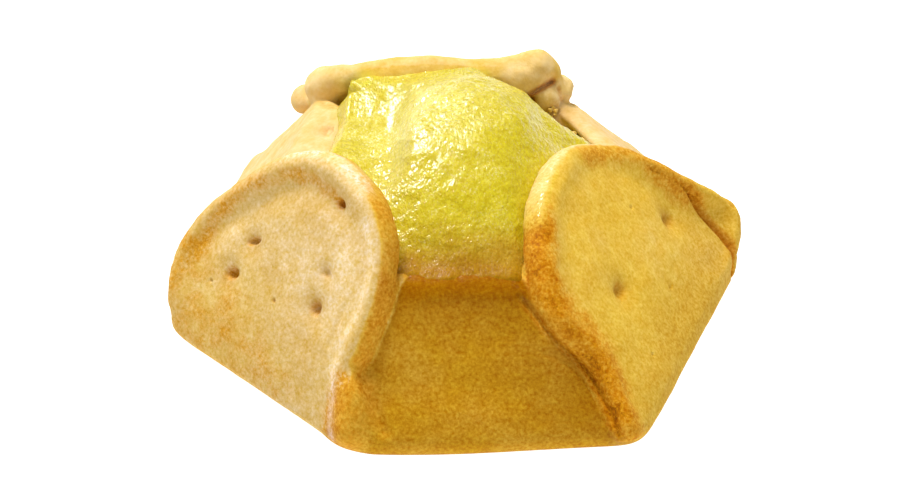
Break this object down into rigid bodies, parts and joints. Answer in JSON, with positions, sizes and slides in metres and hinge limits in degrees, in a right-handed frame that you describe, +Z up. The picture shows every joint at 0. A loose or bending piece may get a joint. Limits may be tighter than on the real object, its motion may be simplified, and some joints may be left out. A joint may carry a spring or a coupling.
{
  "type": "open fruit pastry",
  "caption": "Open fruit pastry: a six-sided shortcrust case with browned round flaps folded up over a mound of soft yellow-green fruit.",
  "frame": {"origin": "on the flat underside, near its middle, where the pastry rests", "axes": "+Z up, +X to the right along the low front wall, +Y to the back, towards the third flap"},
  "size_m": [0.0956, 0.0897, 0.0377],
  "materials": {
    "pastry": "matte baked dough, browned along the rims",
    "filling": "wet, glossy, slightly translucent cooked fruit"
  },
  "bodies": {
    "root": {"pastry": "pastry", "filling": "filling"}
  },
  "joints": []
}
